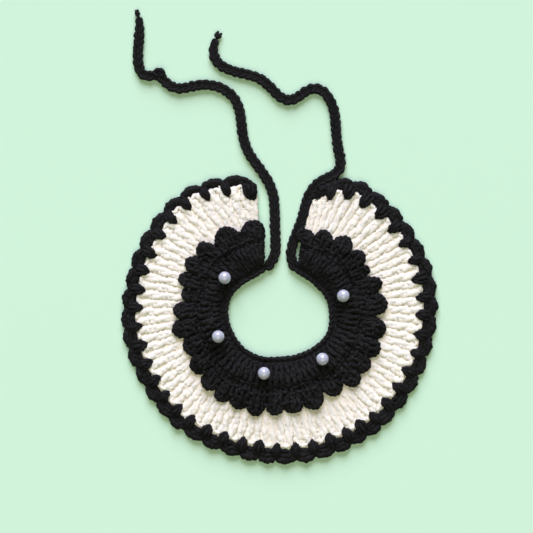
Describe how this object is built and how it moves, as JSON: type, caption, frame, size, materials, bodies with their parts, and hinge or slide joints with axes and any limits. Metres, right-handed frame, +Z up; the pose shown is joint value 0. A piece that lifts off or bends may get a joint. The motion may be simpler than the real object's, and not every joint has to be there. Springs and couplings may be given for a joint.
{
  "type": "crochet pet collar",
  "caption": "Crochet collar for a pet, laid flat: an open ring with a scalloped edging, a ruffle of small fans, pearl beads and two cord ties.",
  "frame": {"origin": "centre of the flat collar's box, without its ties, on the surface it lies on", "axes": "+Z up off the surface, +X across the collar, +Y from the neck toward the open front and the ties"},
  "size_m": [0.2015, 0.2894, 0.0169],
  "materials": {
    "cream_yarn": "soft plied cream yarn, matt and slightly fuzzy",
    "black_yarn": "soft plied black yarn, matt and slightly fuzzy",
    "pearl": "glossy imitation pearl, bluish white"
  },
  "bodies": {
    "root": {"cream_body": "cream_yarn", "edging": "black_yarn", "neck_band": "black_yarn", "ruffle": "black_yarn", "tie_left": "black_yarn", "tie_right": "black_yarn", "pearl_1": "pearl", "pearl_2": "pearl", "pearl_3": "pearl", "pearl_4": "pearl", "pearl_5": "pearl"}
  },
  "joints": []
}
